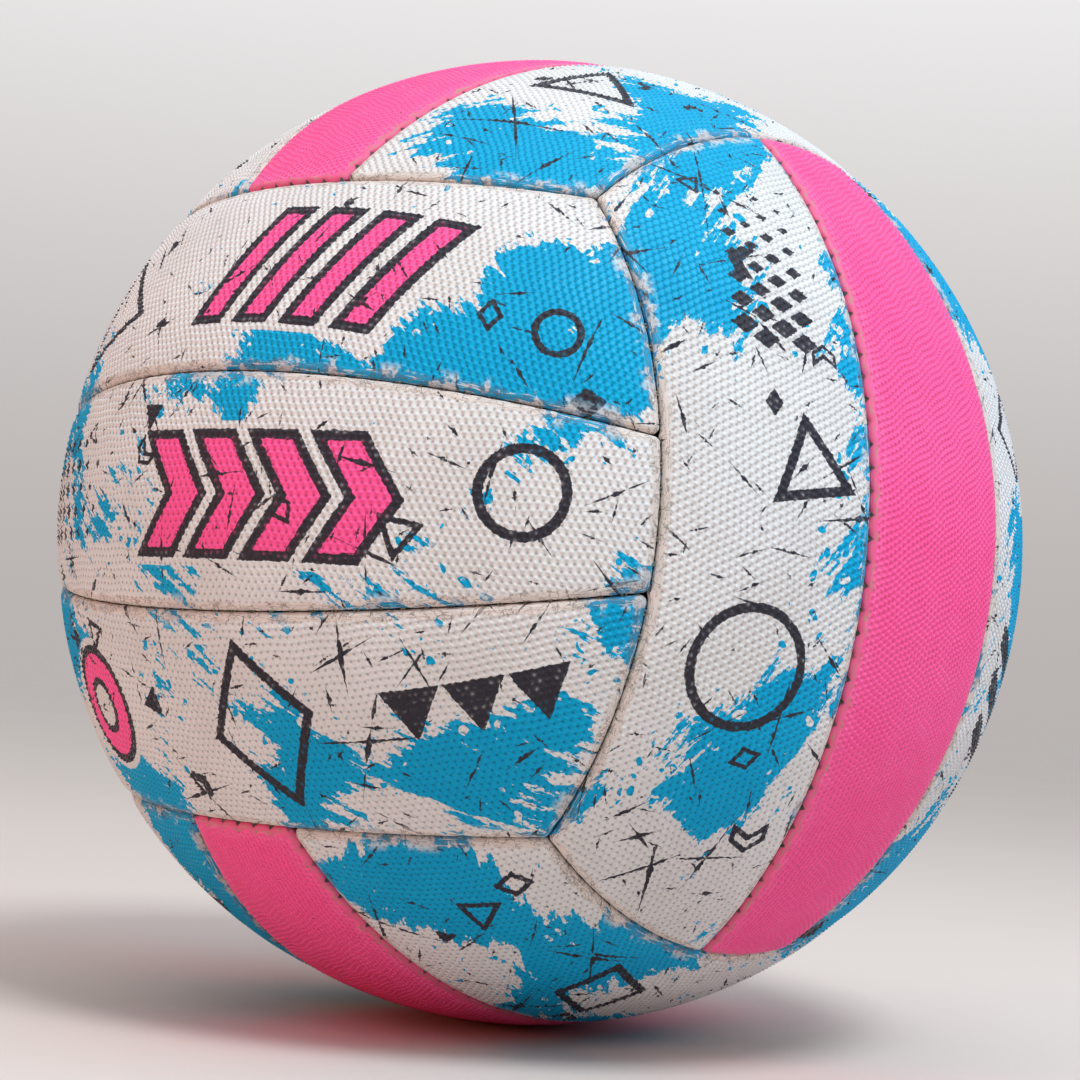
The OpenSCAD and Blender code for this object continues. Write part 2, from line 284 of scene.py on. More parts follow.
def rounded_distance(layout, seams, points):
    """How many metres points lie inside a strip's round-cornered outline, and the nearest seam's number."""
    each = np.stack([inside(seam, points) for seam in seams], 1)
    distance = each.min(1)
    for i in range(4):
        centre, tip = corner_centre(seams, i, layout.corner), corner_centre(seams, i, 0)
        foot = on_seam(seams[i], turn_on(seams[i], centre[None]), 0)[0]
        to_tip = (tip - centre) / np.linalg.norm(tip - centre)
        to_foot = (foot - centre) / np.linalg.norm(foot - centre)
        away = points - centre
        far = np.linalg.norm(away, axis=1)
        distance = np.where(away @ to_tip > far * (to_tip @ to_foot), layout.corner - far, distance)
    return distance * BALL_RADIUS, each.argmin(1)


def to_sheet(points, middle_turn):
    """Lays points of the unit sphere flat: along the strip and across it from its middle line, in metres."""
    lift = np.arcsin(np.clip(points[:, 1], -1, 1))
    turn = np.arctan2(points[:, 2], points[:, 0]) - middle_turn
    return np.stack([lift, turn * np.cos(lift)], 1) * BALL_RADIUS


def from_sheet(places, middle_turn):
    """Puts flat places back on the unit sphere."""
    lift = places[:, 0] / BALL_RADIUS
    turn = middle_turn + places[:, 1] / BALL_RADIUS / np.cos(lift)
    return np.stack([np.cos(turn) * np.cos(lift), np.sin(lift), np.sin(turn) * np.cos(lift)], 1)


def lattice(low, high, step):
    """The points of a triangular lattice over a box, with their column and row numbers."""
    rows = np.arange(math.floor(low[1] / step / LATTICE_RISE), math.ceil(high[1] / step / LATTICE_RISE) + 1)
    spare = len(rows)
    columns = np.arange(math.floor(low[0] / step) - spare, math.ceil(high[0] / step) + spare)
    column, row = (x.ravel() for x in np.meshgrid(columns, rows))
    places = np.stack([(column + row / 2) * step, row * step * LATTICE_RISE], 1)
    chosen = (places[:, 0] > low[0]) & (places[:, 0] < high[0])
    return places[chosen], column[chosen], row[chosen]


def ripple(places, wander):
    """How far the rows of pimples wander, because on the real rubber they aren't quite straight."""
    wander_length = 11 * MM
    x, y = 2 * math.pi * places.T / wander_length
    aside = np.sin(1.1 * y + 0.6 * np.sin(0.7 * x))
    ahead = np.sin(x + 0.9 * np.sin(0.8 * y))
    return wander * np.stack([aside, ahead], 1)


def unrippled(places, wander):
    """Where these places would lie if the rows were straight, found in a few rounds."""
    rounds = 5
    straight = places
    for _ in range(rounds):
        straight = places - ripple(straight, wander)
    return straight


class Shell:
    """Collects the points and triangles of one closed skin, and what the print needs at each point."""

    def __init__(self):
        self.parts, self.triangles, self.on_back = [], [], []
        self.count = 0
        self.clockwise = False

    def add(self, points, sheet, edge, pimple=0.0):
        """Adds points with their flat places, distance from the edge and share of their pimple's height."""
        n = len(points)
        edge, pimple = np.broadcast_to(edge, n), np.broadcast_to(pimple, n)
        self.parts.append(np.column_stack([points, sheet, edge, pimple]))
        self.count += n
        return np.arange(self.count - n, self.count)

    def take(self, triangles, back=False):
        """Adds triangles, on the outside or on the back."""
        self.triangles.append(triangles)
        self.on_back.append(np.full(len(triangles), back))

    def band(self, first, second):
        """Joins two closed rings of like count, or a ring to one with a quarter of its points."""
        after = np.roll(second, -1)
        if len(first) == len(second):
            ahead = np.roll(first, -1)
            made = [np.stack([first, second, ahead], 1), np.stack([ahead, second, after], 1)]
        else:
            ring = np.append(first, first[0])
            tips = (second, second, after, after)
            made = [np.stack([ring[k:-1:4], tip, ring[k + 1::4]], 1) for k, tip in enumerate(tips)]
            made.append(np.stack([ring[2:-1:4], second, after], 1))
        made = np.concatenate(made)
        self.take(made[:, ::-1] if self.clockwise else made)

    def fill(self, places, rings, numbers, back):
        """Fills the flat region inside the first ring, and outside a second, with triangles."""
        near_enough = 1e-9
        edges = [(int(a), int(b)) for ring in rings for a, b in zip(ring, np.roll(ring, -1))]
        made = delaunay_2d_cdt([Vector(p) for p in places], edges, [], INSIDE_WITH_HOLES, near_enough)
        if len(made[0]) != len(places):
            raise RuntimeError("the flat region gained or lost points")
        flat = np.array(made[2])
        flat = flat[~np.isin(flat, rings[-1]).all(1) | (len(rings) == 1)]
        a, b, c = (places[flat[:, k]] for k in range(3))
        area = np.cross(b - a, c - a)
        turned_over = (area < 0) != back
        flat[turned_over] = flat[turned_over, ::-1]
        self.take(numbers[flat], back)


class Skin:
    """Makes the closed skin of one kind of strip: a pimpled arched wall, a folded rim and an open back."""

    def __init__(self, netball, middle, plain, with_valve):
        self.strips, self.pimples, self.stitches = netball.strips, netball.pimples, netball.stitches
        self.layout = Layout(self.strips)
        self.seams = self.layout.seams(middle)
        self.middle_turn = self.layout.middle_turn(middle)
        self.pitch = self.pimples.plain_pitch if plain else self.pimples.printed_pitch
        self.wander = self.pimples.plain_wander if plain else self.pimples.printed_wander
        self.pull = self.stitches.plain_pull if plain else self.stitches.printed_pull
        self.top = BALL_RADIUS - self.pimples.height
        self.edge = self.strips.half_gap + self.strips.fold_radius
        self.hole = self.strips.valve_hole / 2 if with_valve else 0
        self.shell = Shell()
        self.rim = outline(self.layout, self.seams, self.strips.edge_step)
        # Runs and corners alternate, so this is the run of the third seam, where two strips' ends meet it
        self.long_side = None if middle else self.rim[4]
        self.make()

    def distance(self, points):
        return rounded_distance(self.layout, self.seams, points)[0]

    def ring(self, inset, sink, unfolded, dent, every=1):
        """A closed ring of points at a distance inside the seams and a depth, dented by the stitches."""
        dip_share = 0.8
        points, flats = [], []
        for part in self.rim:
            beside_ends = part is self.long_side
            turns = np.linspace(part.start, part.end, part.count + 1)[:-1:every]
            tug = np.zeros(len(turns))
            if part.stitched:
                along = turns * math.sin(part.seam.angle) * BALL_RADIUS / self.stitches.pitch
                away = ((along + 0.5) % 1 - 0.5) * self.stitches.pitch / self.stitches.pull_width
                tug = np.exp(-away ** 2 / 2) * dent * self.pull
            height = self.top - sink - dip_share * tug
            if beside_ends:
                away = (np.abs(turns) - self.layout.meeting_turn) * math.sin(part.seam.angle) * BALL_RADIUS
                tug = tug - np.exp(-(away / self.strips.bulge_width) ** 2 / 2) * dent * self.strips.bulge
            points.append(on_seam(part.seam, turns, (inset + tug) / BALL_RADIUS) * height[:, None])
            flats.append(on_seam(part.seam, turns, unfolded / BALL_RADIUS))
        sheet = to_sheet(np.concatenate(flats), self.middle_turn)
        return self.shell.add(np.concatenate(points), sheet, unfolded), sheet

    def make(self):
        """Builds rings over the fold, down the rim and up behind it, and the two surfaces inside them."""
        strips = self.strips
        gap, fold, thickness = strips.half_gap, strips.fold_radius, strips.skin_thickness
        sunk = strips.shoulder_depth
        ceiling = thickness - self.pimples.height
        tip = strips.rim_depth - self.pimples.height
        fold_steps, dent_growth, dent_on_rim = 7, 1.5, 0.4
        rings = []
        for k in range(fold_steps + 1):
            lean = math.pi / 2 * k / fold_steps
            inset = gap + fold * (1 - math.sin(lean))
            sink = sunk + fold * (1 - math.cos(lean))
            rings.append(self.ring(inset, sink, self.edge - fold * lean, (k / fold_steps) ** dent_growth))
        across, along = np.roll(rings[0][1], -1, 0).T, rings[0][1].T
        self.shell.clockwise = float((along[0] * across[1] - along[1] * across[0]).sum()) < 0
        fold_end = self.edge - fold * math.pi / 2
        wall = tip - sunk - fold
        rings.append(self.ring(gap, sunk + fold + wall / 2, fold_end - wall / 2, dent_on_rim))
        rings.append(self.ring(gap, tip, fold_end - wall, 0))
        back_start = fold_end - wall - thickness
        rim_share = 1.3
        back_edge = gap + rim_share * thickness
        rings.append(self.ring(gap + thickness, tip, back_start, 0, every=4))
        rings.append(self.ring(gap + thickness, (tip + ceiling) / 2, back_start - tip / 2, 0, every=4))
        rings.append(self.ring(back_edge, ceiling, back_start - tip, 0, every=4))
        for (first, _), (second, _) in zip(rings, rings[1:]):
            self.shell.band(first, second)
        step = self.pitch / self.pimples.steps
        lip_points, back_points = 96, 24
        lip_ring = self.surface(
            rings[0], step, self.edge, self.arched, lip_points, self.hole + strips.valve_lip, False)
        back_step = 5 * MM
        back_height = self.top - ceiling

        def even(distance, *_):
            return back_height + 0 * distance, 0

        back_ring = self.surface(rings[-1], back_step, back_edge, even, back_points, self.hole, True)
        if self.hole:
            self.bore(lip_ring, back_ring)

    def surface(self, first_ring, step, inner_edge, height_of, hole_count, hole_radius, back):
        """Fills the strip inside a ring with lattice points, round the valve hole if there is one."""
        numbers, places = first_ring
        spots, column, row = lattice(places.min(0), places.max(0), step)
        spots = spots + ripple(spots, self.wander)
        room_share = 0.55
        room = room_share * step
        chosen = self.distance(from_sheet(spots, self.middle_turn)) > inner_edge + room
        rings = [np.arange(len(places))]
        hole = np.zeros((0, 2))
        if self.hole:
            chosen &= np.hypot(*spots.T) > hole_radius + room
            sign = 1 if self.shell.clockwise else -1
            turns = sign * np.arange(hole_count) * 2 * math.pi / hole_count
            hole = hole_radius * np.stack([np.cos(turns), np.sin(turns)], 1)
            rings.append(np.arange(hole_count) + len(places))
        fresh = np.concatenate([hole, spots[chosen]])
        at = from_sheet(fresh, self.middle_turn)
        distance = self.distance(at)
        height, pimple = height_of(distance, column[chosen], row[chosen])
        added = self.shell.add(at * height[:, None], fresh, distance, pimple)
        self.shell.fill(np.concatenate([places, fresh]), rings, np.concatenate([numbers, added]), back)
        return added[:len(hole)]

    def arched(self, distance, column, row):
        """The outer surface: it sinks towards the seams, and has a pimple at every few lattice points."""
        steps = self.pimples.steps
        nearest = np.full(len(column), np.inf)
        for extra_column in (-steps, 0, steps):
            for extra_row in (-steps, 0, steps):
                a = (column % steps) + extra_column
                b = (row % steps) + extra_row
                nearest = np.minimum(nearest, np.hypot(a + b / 2, b * LATTICE_RISE))
        reach = nearest / steps / (self.pimples.diameter_share / 2)
        foot_softness = 1.5
        pimple = np.clip(1 - reach ** 2, 0, 1) ** foot_softness
        pimple = np.concatenate([np.zeros(len(distance) - len(column)), pimple])
        band = self.pimples.smooth_band
        pimple *= np.clip((distance - self.edge) / band - 0.5, 0, 1)
        fall = self.strips.shoulder_depth * np.exp(-(distance - self.edge) / self.strips.shoulder_width)
        return self.top - fall + self.pimples.height * pimple, pimple

    def bore(self, lip_ring, back_ring):
        """The rounded lip and the wall of the hole for the valve's head."""
        sign = 1 if self.shell.clockwise else -1
        turns = sign * np.arange(len(lip_ring)) * 2 * math.pi / len(lip_ring)
        flat = np.stack([np.cos(turns), np.sin(turns)], 1)
        lip = self.strips.valve_lip
        lip_steps = 3
        last = lip_ring
        for k in range(1, lip_steps + 1):
            lean = math.pi / 2 * k / lip_steps
            radius = self.hole + lip * (1 - math.sin(lean))
            height = self.top - lip * (1 - math.cos(lean))
            at = from_sheet(flat * radius, 0) * height
            ring = self.shell.add(at, flat * radius, FAR)
            self.shell.band(last, ring)
            last = ring
        self.shell.band(last, back_ring)

    def arrays(self):
        """Points, flat places, edge distances, pimple shares, triangles, and which triangles are behind."""
        all_parts = np.concatenate(self.shell.parts)
        return (all_parts[:, :3], all_parts[:, 3:5], all_parts[:, 5], all_parts[:, 6],
                np.concatenate(self.shell.triangles), np.concatenate(self.shell.on_back))

    def along(self, points):
        """How far along its nearest seam each point lies, from the middle of that seam."""
        unit = points / np.linalg.norm(points, axis=1)[:, None]
        nearest = rounded_distance(self.layout, self.seams, unit)[1]
        along = np.zeros(len(points))
        for i, seam in enumerate(self.seams):
            chosen = nearest == i
            along[chosen] = turn_on(seam, unit[chosen]) * math.sin(seam.angle) * BALL_RADIUS
        return along


def mesh_from(name, points, triangles):
    """A smooth-shaded triangle mesh."""
    mesh = bpy.data.meshes.new(name)
    mesh.vertices.add(len(points))
    mesh.vertices.foreach_set("co", points.astype(np.float32).ravel())
    mesh.loops.add(3 * len(triangles))
    mesh.loops.foreach_set("vertex_index", triangles.astype(np.int32).ravel())
    mesh.polygons.add(len(triangles))
    mesh.polygons.foreach_set("loop_start", np.arange(0, 3 * len(triangles), 3, dtype=np.int32))
    mesh.polygons.foreach_set("use_smooth", np.ones(len(triangles), bool))
    mesh.update(calc_edges=True)
    return mesh


def give(mesh, name, values):
    """Stores one number, or one vector, for each point."""
    values = np.asarray(values, np.float32)
    if values.ndim == 1:
        mesh.attributes.new(name, "FLOAT", "POINT").data.foreach_set("value", values)
    else:
        mesh.attributes.new(name, "FLOAT_VECTOR", "POINT").data.foreach_set("vector", values.ravel())


def put(name, mesh, material, body, slot, *nodes):
    """Links a piece that stands for CAD nodes, and makes it ride on its body."""
    piece = bpy.data.objects.new(name, mesh)
    bpy.context.scene.collection.objects.link(piece)
    mesh.materials.append(material)
    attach(piece, body)
    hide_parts(*nodes)
    return piece


# Print

# Each shape function gives how far points lie outside a motif of this size. A slope's steepness turns a
# distance measured along an axis into one measured squarely to the slope.


def ring_shape(x, y, size):
    return np.hypot(x, y) - size / 2


def diamond_shape(x, y, size):
    half_width, half_length, steepness = 0.36, 0.5, 0.29
    return (np.abs(x) / half_width + np.abs(y) / half_length - size) * steepness


def triangle_shape(x, y, size):
    reach = size * 0.3
    slanted = np.abs(x) * LATTICE_RISE + y / 2
    return np.maximum(slanted, -y) - reach


def chevron_shape(x, y, size):
    sweep, setback, half_thickness, steepness = 0.7, 0.1, 0.17, 0.82
    bent = x + np.abs(y) * sweep - size * setback
    return np.maximum(np.abs(bent) * steepness - size * half_thickness, np.abs(y) - size / 2)


def bar_shape(x, y, size):
    slant, half_thickness, steepness = 0.45, 0.12, 0.91
    slanted = x - y * slant
    return np.maximum(np.abs(slanted) * steepness - size * half_thickness, np.abs(y) - size / 2)


SHAPES = {
    "ring": ring_shape, "diamond": diamond_shape, "triangle": triangle_shape,
    "chevron": chevron_shape, "bar": bar_shape,
}


def row_of(shape, count, along, across, size, step, turn, fill):
    """Like motifs side by side, from one place along a strip."""
    return [Motif(shape, along + k * step, across, size, turn, fill) for k in range(count)]


def fading_diamonds(along, across, columns, rows, step):
    """A field of small diamonds that get smaller along the strip."""
    row_step = 0.8 * step
    first_size, shrink = 1.15 * step, 0.9 * step
    field = []
    for row in range(rows):
        for column in range(columns):
            x = along + (column + row % 2 / 2) * step
            y = across + (row - (rows - 1) / 2) * row_step
            field.append(Motif("diamond", x, y, first_size - shrink * column / columns, 0, "dark"))
    return field


# The larger motifs of each strip, with places and sizes in millimetres and turns in degrees
MOTIFS = {
    "front_upper": [
        *row_of("bar", 4, 4, 1, 27, 12.5, 0, "pink"), Motif("triangle", -47, -2, 27, 14, None),
        Motif("ring", 76, -3, 9, 0, None)],
    "front_middle": [
        *fading_diamonds(-78, 1, 8, 5, 6), *row_of("chevron", 4, 0, -1, 24, 15, 0, "pink"),
        Motif("ring", 76, 2, 17, 0, None)],
    "front_lower": [
        Motif("ring", -38, -1, 25, 0, "pink"), Motif("ring", -38, -1, 11, 0, "white"),
        Motif("diamond", 18, 0, 34, 12, None), *row_of("triangle", 3, 52, 2, 12, 13, 180, "dark")],
    "right_front": [
        Motif("ring", -28, 2, 24, 0, None), *fading_diamonds(38, -1, 7, 4, 5.5),
        Motif("triangle", 12, -8, 16, 40, None)],
    "right_back": [Motif("diamond", 30, 0, 28, 0, None), *row_of("bar", 3, -40, 0, 22, 10, 0, "dark")],
    "top_right": [Motif("ring", 20, 0, 20, 0, None), Motif("triangle", -42, 3, 20, 60, None)],
    "top_left": [Motif("triangle", 30, 0, 26, 200, None), *fading_diamonds(-60, 0, 6, 4, 5.5)],
    "bottom_right": [Motif("diamond", -24, 2, 26, 30, None), Motif("ring", 40, 0, 14, 0, None)],
    "bottom_left": [Motif("ring", 10, 0, 22, 0, None), *row_of("chevron", 3, -60, 0, 16, 10, 0, "dark")],
    "left_front": [Motif("triangle", -30, 0, 28, 20, None), Motif("ring", 34, 0, 18, 0, None)],
    "left_back": [*row_of("bar", 3, -24, -1, 21, 10, 0, "dark"), Motif("diamond", 58, 0, 26, 0, None)],
    "back_upper": [*row_of("chevron", 4, -26, 0, 24, 15, 0, "pink"), Motif("ring", 62, 0, 18, 0, None)],
    "back_middle": [*row_of("bar", 3, -64, 0, 24, 12, 0, "pink"), *fading_diamonds(30, 0, 8, 5, 6)],
    "back_lower": [Motif("diamond", -44, 0, 32, 0, None), *row_of("triangle", 4, 10, 0, 18, 15, 0, "pink")],
}
SMALL_MARKS = 8
SMALL_MARK_REACH = (95, 20)
SMALL_MARK_SIZES = (3.5, 8)
FILLED_SHARE = 0.6


def small_marks(seed):
    """Little dark chevrons, diamonds and triangles, strewn over a strip."""
    draw = np.random.default_rng(seed)
    shapes = ("chevron", "diamond", "triangle")
    far_along, far_across = SMALL_MARK_REACH
    return [
        Motif(shapes[draw.integers(len(shapes))], draw.uniform(-far_along, far_along),
              draw.uniform(-far_across, far_across), draw.uniform(*SMALL_MARK_SIZES), draw.uniform(0, 360),
              "dark" if draw.random() < FILLED_SHARE else None)
        for _ in range(SMALL_MARKS)]


def on_its_like(mark, motifs):
    """Whether a small mark lies on a larger motif of its own shape, where they would read as a new sign."""
    return any(
        mark.shape == motif.shape
        and math.hypot(mark.along - motif.along, mark.across - motif.across) < (mark.size + motif.size) / 2
        for motif in motifs)


def inks(sheet, motifs, line):
    """How far each point lies outside each ink, and outside the bare border round the motifs."""
    finest_line, border_width = 0.16, 1.3 * line
    far = {ink: np.full(len(sheet), FAR) for ink in ("dark", "pink", "bare")}
    for motif in motifs:
        size = motif.size * MM
        turn = math.radians(motif.turn)
        x, y = sheet[:, 0] - motif.along * MM, sheet[:, 1] - motif.across * MM
        near = np.hypot(x, y) < size
        x, y = x[near], y[near]
        x, y = x * math.cos(turn) + y * math.sin(turn), y * math.cos(turn) - x * math.sin(turn)
        away = SHAPES[motif.shape](x, y, size)
        border = min(line, size * finest_line)
        if motif.fill == "dark":
            parts = {"dark": away}
        elif motif.fill is None:
            parts = {"dark": np.abs(away) - border / 2}
        else:
            parts = {"dark": np.abs(away) - border / 2, "bare": away - border_width}
            if motif.fill == "pink":
                parts["pink"] = away
            else:
                far["pink"][near] = np.maximum(far["pink"][near], -away)
        for ink, value in parts.items():
            far[ink][near] = np.minimum(far[ink][near], value)
    return far


# Materials

# The kinds of node that are used often, by short names: the node's own name and the settings that go with
# it. A ramp takes a value, the two ends that it runs between, and what it gives at each. A blend takes the
# share of its second colour, and the two colours.
KINDS = {
    "plus": ("Math", {"operation": "ADD"}),
    "minus": ("Math", {"operation": "SUBTRACT"}),
    "times": ("Math", {"operation": "MULTIPLY"}),
    "times_plus": ("Math", {"operation": "MULTIPLY_ADD"}),
    "divided": ("Math", {"operation": "DIVIDE"}),
    "power": ("Math", {"operation": "POWER"}),
    "absolute": ("Math", {"operation": "ABSOLUTE"}),
    "larger": ("Math", {"operation": "MAXIMUM"}),
    "above": ("Math", {"operation": "GREATER_THAN"}),
    "below": ("Math", {"operation": "LESS_THAN"}),
    "sine": ("Math", {"operation": "SINE"}),
    "cosine": ("Math", {"operation": "COSINE"}),
    "vector_plus": ("VectorMath", {"operation": "ADD"}),
    "vector_minus": ("VectorMath", {"operation": "SUBTRACT"}),
    "vector_times": ("VectorMath", {"operation": "MULTIPLY"}),
    "vector_scaled": ("VectorMath", {"operation": "SCALE"}),
    "spun": ("VectorRotate", {"rotation_type": "Z_AXIS"}),
    "ramp": ("MapRange", {"interpolation_type": "SMOOTHSTEP"}),
    "blend": ("Mix", {"data_type": "RGBA"}),
    "darken": ("Mix", {"data_type": "RGBA", "blend_type": "MULTIPLY"}),
    "noise": ("TexNoise", {"noise_dimensions": "2D"}),
    "cells": ("TexVoronoi", {"voronoi_dimensions": "2D"}),
}
STRIP_RUBBER = {"IOR": 1.52, "Metallic": 0.0, "Specular_IOR_Level": 0.24}
Surface = namedtuple("Surface", "place edge along pimple crease near_fold pit")

# Layers of scattered strokes: the cell that each stroke has to itself, half its width, the share of cells
# with a stroke, and a shift and a turn that keep one layer from following another
STROKES = (
    (34 * MM, 0.75 * MM, 0.7, 0.1, 0.0),
    (34 * MM, 0.6 * MM, 0.7, 0.1, 1.2),
    (21 * MM, 0.6 * MM, 0.7, 0.33, 0.0),
    (12 * MM, 0.5 * MM, 0.6, 0.61, 0.0),
    (5.5 * MM, 0.42 * MM, 0.4, 0.87, 0.0),
)


def feed(tree, node, *values, **named):
    """Gives a node's inputs values, colours or links, in order or by name. Any other name is a setting's."""
    pairs = list(zip([socket for socket in node.inputs if socket.enabled], values))
    for name, value in named.items():
        title = name.replace("_", " ")
        if title in node.inputs:
            pairs.append((node.inputs[title], value))
        else:
            setattr(node, name, value)
    for socket, value in pairs:
        if isinstance(value, bpy.types.Node):
            value = next(output for output in value.outputs if output.enabled)
        if isinstance(value, bpy.types.NodeSocket):
            tree.links.new(value, socket)
        elif socket.type == "RGBA":
            socket.default_value = (*(from_hex(value) if isinstance(value, str) else value), 1.0)
        else:
            socket.default_value = value


def add(tree, kind, *values, **named):
    """Adds a node, by its own name or one from KINDS, with its settings, values and links."""
    node_name, settings = KINDS.get(kind, (kind, {}))
    node = tree.nodes.new("ShaderNode" + node_name)
    feed(tree, node, **settings)
    feed(tree, node, *values, **named)
    return node


def new_material(name, **surface):
    """A material with a Principled surface, whose constant values stand on its own sockets."""
    material = bpy.data.materials.new(name)
    material.use_nodes = True
    tree = material.node_tree
    shader = tree.nodes["Principled BSDF"]
    feed(tree, shader, **surface)
    return material, tree, shader


def per(size):
    """A pattern's scale, from its real size in metres."""
    return 1 / size


def line_at(tree, value, level, inner, outer, strength=1.0):
    """A line where the value crosses a level: full up to the inner distance from it, gone at the outer."""
    off = add(tree, "absolute", add(tree, "minus", value, level))
    return add(tree, "ramp", off, inner, outer, strength, 0.0)


def scattered_strokes(tree, place, cell, half_width, kept, shift, extra_turn):
    """Thin strokes at random turns, one to a cell, thick in the middle and tapered to hair lines."""
    across_shift = 1.7 * shift
    shortest, spread = cell * 0.12, cell * 0.42
    taper_power, break_size, wear_contrast, wear_start = 1.3, cell / 7, 3.4, -1.05
    blur_inside, blur_outside = -0.03 * MM, 0.09 * MM
    moved = add(tree, "vector_plus", place, (shift, across_shift, 0))
    cells = add(tree, "cells", moved, per(cell))
    chance = add(tree, "SeparateColor", cells.outputs["Color"])
    local = add(tree, "vector_minus", moved, cells.outputs["Position"])
    own_turn = add(tree, "times_plus", chance.outputs[0], 2 * math.pi, extra_turn)
    parts = add(tree, "SeparateXYZ", add(tree, "spun", local, Angle=own_turn))
    reach = add(tree, "times_plus", chance.outputs[1], spread, shortest)
    along = add(tree, "absolute", add(tree, "divided", parts.outputs[0], reach))
    across = add(tree, "absolute", parts.outputs[1])
    taper = add(tree, "power", add(tree, "minus", 1.0, along, use_clamp=True), taper_power)
    broken = add(tree, "noise", place, per(break_size), 3, 0.65)
    wear = add(tree, "times_plus", broken, wear_contrast, wear_start)
    width = add(tree, "times", add(tree, "times", taper, wear), half_width)
    drawn = add(tree, "ramp", add(tree, "minus", width, across), blur_inside, blur_outside)
    chosen = add(tree, "above", chance.outputs[2], 1 - kept)
    on_stroke = add(tree, "below", along, 1.0)
    return add(tree, "times", add(tree, "times", drawn, chosen), on_stroke)


def cyan_mask(tree, place, ink):
    """Where the cyan lies: brushed patches with ragged, streaked edges and droplets round them."""
    threshold, soft = 0.527, 0.008
    wobble_size, wobble_reach = 15 * MM, 11 * MM
    wobble = add(tree, "noise", place, per(wobble_size), 3, 0.55)
    centred = add(tree, "vector_minus", wobble.outputs["Color"], (0.5, 0.5, 0.5))
    warped = add(tree, "vector_plus", place, add(tree, "vector_scaled", centred, wobble_reach))
    patch = add(tree, "noise", warped, per(ink.patch_size), 2, 0.5)
    streak_turn = 0.6
    slanted = add(tree, "spun", place, Angle=streak_turn)
    streak_scale = (per(ink.streak_length), per(ink.streak_width), 1)
    streak = add(tree, "noise", add(tree, "vector_times", slanted, streak_scale), 1.0, 5, 0.62)
    fine = add(tree, "noise", place, per(1.5 * MM), 3, 0.6)
    streak_share, fine_share = 0.28, 0.09
    field = add(tree, "times_plus", streak, streak_share, patch)
    field = add(tree, "times_plus", fine, fine_share, field)
    field = add(tree, "minus", field, (streak_share + fine_share) / 2)
    mask = add(tree, "ramp", field, threshold, threshold + soft)
    drop_spacing, smallest_drop, drop_spread = 3.6 * MM, 0.03, 0.34
    drops = add(tree, "cells", warped, per(drop_spacing))
    chance = add(tree, "SeparateColor", drops.outputs["Color"])
    radius = add(tree, "times_plus", add(tree, "power", chance.outputs[0], 3.0), drop_spread, smallest_drop)
    drop = add(tree, "below", drops.outputs["Distance"], radius)
    all_within, none_beyond, bare_share = 0.05, 0.09, 0.4
    near = line_at(tree, field, threshold, all_within, none_beyond)
    flips = add(tree, "times", drop, add(tree, "above", near, chance.outputs[1]))
    is_cyan = add(tree, "above", chance.outputs[2], bare_share)
    kept = add(tree, "times", mask, add(tree, "minus", 1.0, flips))
    return add(tree, "times_plus", flips, is_cyan, kept)


def dots(tree, lattice_place, edge, pitch, shift_along, shift_across, low):
    """One at the dots of the pimples' lattice, or of that lattice shifted, and nought at the folds: three
    crossed waves, cut off below a low level."""
    parts = add(tree, "SeparateXYZ", lattice_place)
    turn = 2 * math.pi * per(pitch)
    along = add(tree, "times_plus", parts.outputs[0], turn, -shift_along)
    across = add(tree, "times_plus", parts.outputs[1], turn / math.sqrt(3), -shift_across)
    crossed = add(tree, "times", add(tree, "cosine", along), add(tree, "cosine", across))
    level = add(tree, "cosine", add(tree, "times", across, 2.0))
    wave = add(tree, "times_plus", crossed, 2.0, level)
    high = 2.8
    off_fold = add(tree, "ramp", edge, 1.6 * MM, 2.1 * MM)
    return add(tree, "times", add(tree, "ramp", wave, low, high), off_fold)


